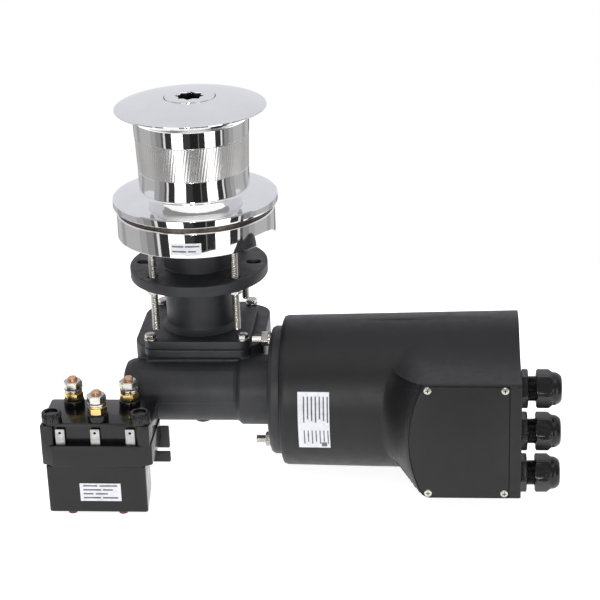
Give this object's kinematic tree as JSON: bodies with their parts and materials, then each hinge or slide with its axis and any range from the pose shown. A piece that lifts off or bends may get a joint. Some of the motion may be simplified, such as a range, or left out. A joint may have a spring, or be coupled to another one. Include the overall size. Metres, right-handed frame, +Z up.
{
  "type": "anchor windlass",
  "caption": "Vertical drum capstan windlass: polished drum and base above deck, neck and worm gearbox below, horizontal electric motor in a sealed cover, with a separate reversing contactor.",
  "frame": {"origin": "on the drum axis, in the plane of the deck seat under the polished base, where the deck holds the windlass", "axes": "+Z up along the drum axis, +X along the motor towards the cable glands, +Y away from the junction box lid"},
  "size_m": [0.517, 0.2548, 0.3829],
  "materials": {
    "polished_steel": "mirror polished stainless steel",
    "black_anodised": "black anodised cast aluminium, satin",
    "black_steel": "black painted sheet steel, satin",
    "black_plastic": "black moulded plastic, fine satin grain",
    "gloss_plastic": "black moulded plastic, semi-gloss",
    "bronze": "machined bronze",
    "copper": "copper, lightly tarnished",
    "seal_rubber": "moulded black rubber",
    "dark_steel": "machined steel, oiled",
    "zinc_steel": "stainless and zinc-plated fasteners"
  },
  "bodies": {
    "housing": {"base_plate": "polished_steel", "shaft_seal": "seal_rubber", "neck_casting": "black_anodised", "upper_bearing": "bronze", "stud_1": "zinc_steel", "stud_nut_1": "zinc_steel", "neck_bolt_1": "zinc_steel", "stud_2": "zinc_steel", "stud_nut_2": "zinc_steel", "neck_bolt_2": "zinc_steel", "stud_3": "zinc_steel", "stud_nut_3": "zinc_steel", "neck_bolt_3": "zinc_steel", "stud_4": "zinc_steel", "stud_nut_4": "zinc_steel", "neck_bolt_4": "zinc_steel", "gear_housing": "black_anodised", "lower_bearing": "dark_steel", "worm_bearing_left": "dark_steel", "worm_bearing_right": "dark_steel", "motor_flange": "black_anodised", "motor_yoke": "dark_steel", "motor_end_bell": "dark_steel", "cover_end_cap": "black_plastic", "through_bolt_1": "zinc_steel", "through_nut_1": "zinc_steel", "through_bolt_2": "zinc_steel", "through_nut_2": "zinc_steel", "motor_cover": "black_plastic", "junction_lid": "black_plastic", "lid_screw_1": "zinc_steel", "lid_screw_2": "zinc_steel", "lid_screw_3": "zinc_steel", "lid_screw_4": "zinc_steel", "gland_body_1": "black_plastic", "gland_nut_1": "black_plastic", "gland_body_2": "black_plastic", "gland_nut_2": "black_plastic", "gland_body_3": "black_plastic", "gland_nut_3": "black_plastic"},
    "shaft": {"main_shaft": "zinc_steel", "worm_wheel": "bronze", "lower_clutch_cone": "bronze", "upper_clutch_cone": "bronze"},
    "drum": {"drum": "polished_steel"},
    "clutch_nut": {"clutch_nut": "polished_steel"},
    "worm": {"worm_shaft": "dark_steel", "armature": "copper"},
    "contactor": {"contactor_case": "gloss_plastic", "contactor_lid": "gloss_plastic", "contactor_bracket": "black_steel", "contactor_stud_1": "copper", "contactor_stud_2": "copper", "contactor_stud_3": "copper", "contactor_nut_1": "zinc_steel", "contactor_nut_2": "zinc_steel", "contactor_nut_3": "zinc_steel", "contactor_tab_1": "zinc_steel", "contactor_tab_2": "zinc_steel", "contactor_tab_3": "zinc_steel"}
  },
  "joints": [
    {"name": "shaft_turn", "type": "hinge", "parent": "housing", "child": "shaft", "pos_m": [0, 0, 0], "axis": [0, 0, 1], "continuous": true},
    {"name": "drum_turn", "type": "hinge", "parent": "shaft", "child": "drum", "pos_m": [0, 0, 0], "axis": [0, 0, 1], "continuous": true},
    {"name": "clutch_nut_turn", "type": "hinge", "parent": "shaft", "child": "clutch_nut", "pos_m": [0, 0, 0], "axis": [0, 0, 1], "range_deg": [0, 360]},
    {"name": "worm_turn", "type": "hinge", "parent": "housing", "child": "worm", "pos_m": [0, -0.05, -0.156], "axis": [1, 0, 0], "continuous": true},
    {"name": "contactor_slide", "type": "slide", "parent": "housing", "child": "contactor", "axis": [-1, 0, 0], "range_m": [0, 0.15]}
  ],
  "couplings": [
    {"joint": "worm_turn", "follows": "shaft_turn", "ratio": -30}
  ]
}
